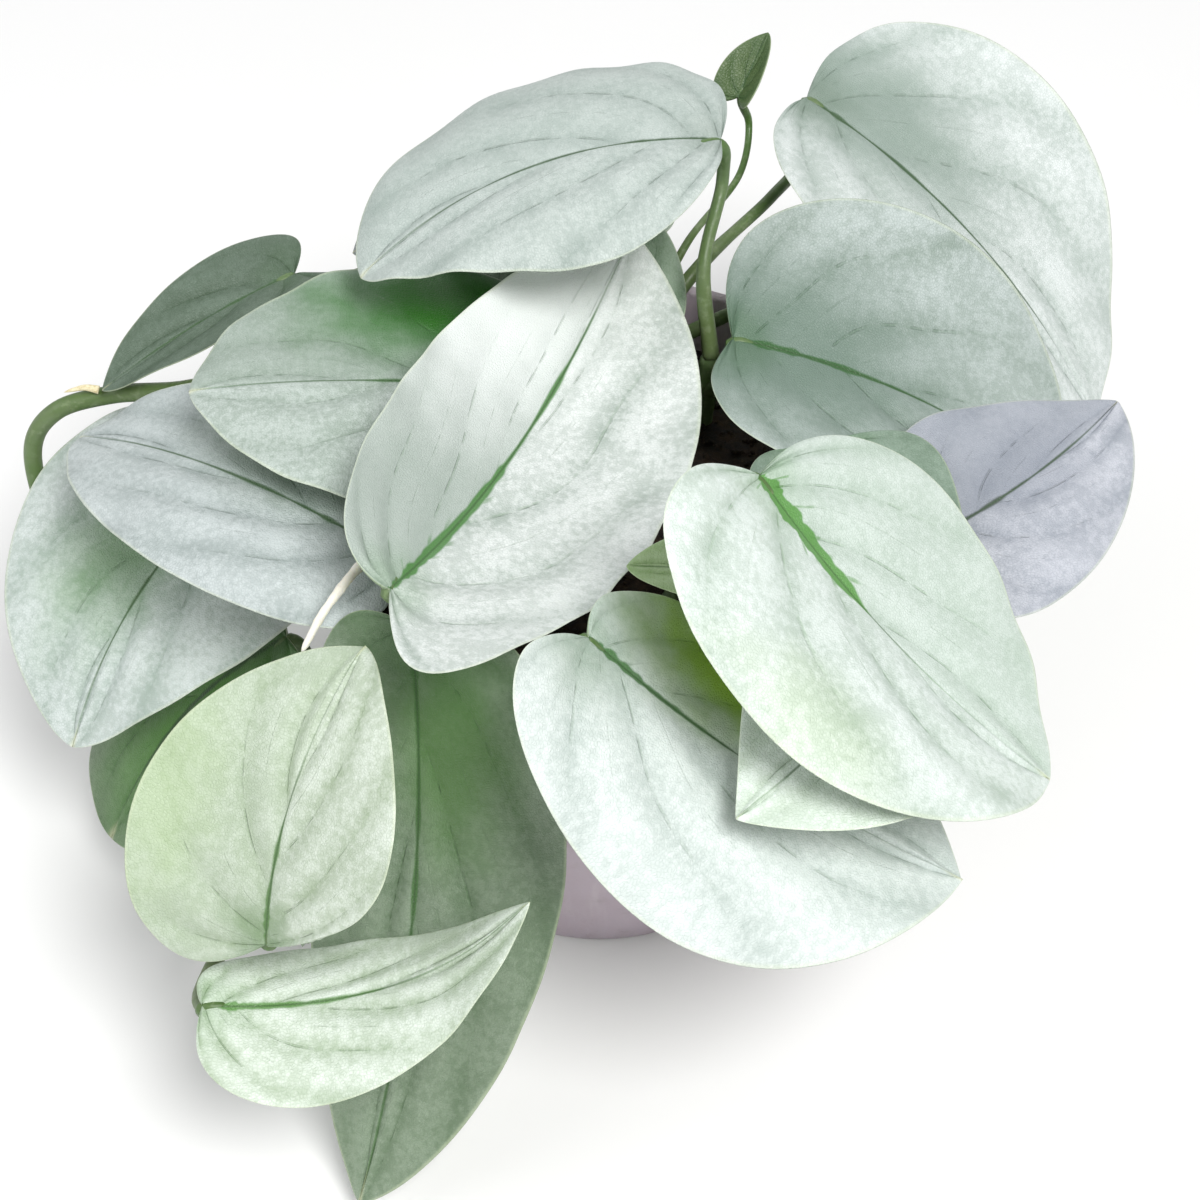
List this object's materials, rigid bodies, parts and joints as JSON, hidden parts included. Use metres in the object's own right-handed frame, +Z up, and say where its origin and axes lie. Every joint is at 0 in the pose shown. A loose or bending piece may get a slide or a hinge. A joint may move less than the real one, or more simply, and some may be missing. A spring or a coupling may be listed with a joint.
{
  "type": "potted platinum scindapsus",
  "caption": "Leafy house plant with silvery heart-shaped blades on short stems, one of them trailing over the rim of a plain round nursery pot of soil.",
  "frame": {"origin": "middle of the pot's flat bottom, on the pot's axis", "axes": "+Z up along the pot's axis, -Y towards the side that the picture looks at, +X to its right"},
  "size_m": [0.2591, 0.2578, 0.1663],
  "materials": {
    "pot": "smooth moulded, satin, mauve-grey",
    "soil": "rough, dark brown potting mix",
    "stem": "smooth, grey-green",
    "shoot": "smooth, white",
    "sheath": "dry, papery, cream",
    "leaf_silver": "soft satin, silver-grey with a green midrib",
    "leaf_pale": "soft satin, pale yellow-green with a green midrib",
    "leaf_lilac": "soft satin, lilac-silver with a dark midrib",
    "leaf_green": "soft satin, grey-green with silver bands",
    "leaf_shaded": "soft satin, dark grey-green"
  },
  "bodies": {
    "root": {"pot": "pot", "soil": "soil", "stem_center": "stem", "stem_left": "stem", "stem_front": "stem", "stem_right": "stem", "stem_back": "stem", "stem_trailing": "stem", "shoot_white": "shoot", "sheath": "sheath", "leaf_top": "leaf_silver", "leaf_top_behind": "leaf_lilac", "leaf_young": "leaf_shaded", "leaf_right_upper": "leaf_silver", "leaf_right_middle": "leaf_silver", "leaf_right_outer": "leaf_lilac", "leaf_right_under": "leaf_green", "leaf_front_right": "leaf_pale", "leaf_center": "leaf_silver", "leaf_left_upper": "leaf_silver", "leaf_left_middle": "leaf_silver", "leaf_left_rear": "leaf_green", "leaf_left_outer": "leaf_silver", "leaf_left_shaded": "leaf_shaded", "leaf_front_left": "leaf_pale", "leaf_front_left_low": "leaf_pale", "leaf_front_hanging": "leaf_green", "leaf_front_large": "leaf_silver", "leaf_front_right_low": "leaf_pale", "leaf_small": "leaf_pale", "leaf_inner_rear": "leaf_green", "leaf_rear_shaded": "leaf_shaded", "leaf_back_middle": "leaf_green", "leaf_back_right": "leaf_silver", "leaf_back_left": "leaf_silver"}
  },
  "joints": []
}
